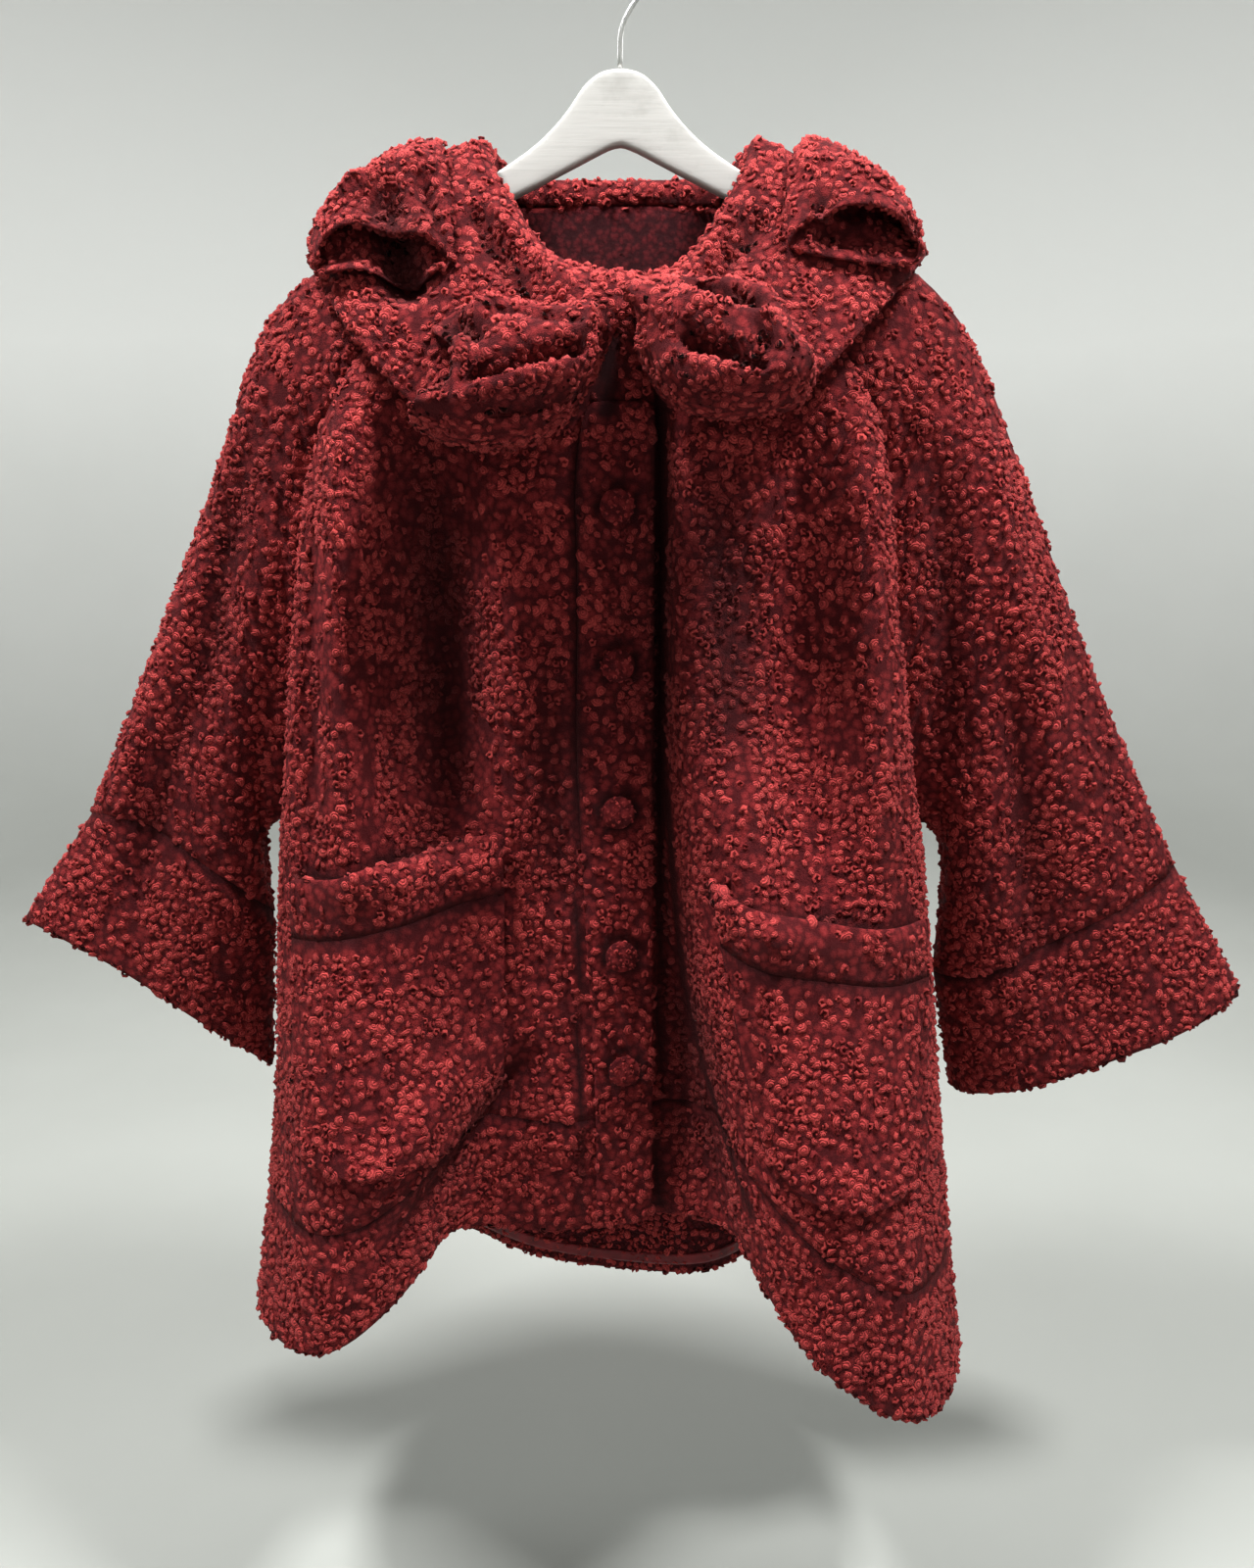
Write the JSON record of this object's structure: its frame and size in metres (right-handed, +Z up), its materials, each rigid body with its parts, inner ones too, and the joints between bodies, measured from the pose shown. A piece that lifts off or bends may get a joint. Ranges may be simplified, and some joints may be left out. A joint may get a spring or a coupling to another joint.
{
  "type": "wool coat on a hanger",
  "caption": "Wide boucle wool coat with raglan sleeves, a gathered collar, patch pockets and covered buttons, on a white wooden hanger.",
  "frame": {"origin": "inner top of the hanger's hook, where the rail carries it", "axes": "+X to the viewer's right as the front is seen, which is the wearer's left; +Y from front to back; +Z up"},
  "size_m": [1.0113, 0.2979, 1.0929],
  "materials": {
    "wool_body": "boucle",
    "wool_sleeves": "boucle",
    "wool_bands": "boucle",
    "wool_pockets": "boucle",
    "wool_collar": "boucle",
    "buttons": "covered",
    "satin": "satin",
    "white_paint": "white paint",
    "hook_steel": "polished"
  },
  "bodies": {
    "root": {"front_right": "wool_body", "front_left": "wool_body", "back": "wool_body", "hem_right": "wool_bands", "hem_left": "wool_bands", "hem_back": "wool_bands", "sleeve_right": "wool_sleeves", "sleeve_left": "wool_sleeves", "cuff_right": "wool_bands", "cuff_left": "wool_bands", "placket": "wool_body", "pocket_right": "wool_pockets", "pocket_left": "wool_pockets", "pocket_band_right": "wool_pockets", "pocket_band_left": "wool_pockets", "collar_stand": "wool_collar", "collar": "wool_collar", "puff_front_right": "wool_collar", "puff_front_left": "wool_collar", "puff_shoulder_right": "wool_collar", "puff_shoulder_left": "wool_collar", "button_1": "buttons", "button_2": "buttons", "button_3": "buttons", "button_4": "buttons", "button_5": "buttons", "lining_edge": "satin", "hanger_wood": "white_paint", "hanger_hook": "hook_steel"}
  },
  "joints": []
}
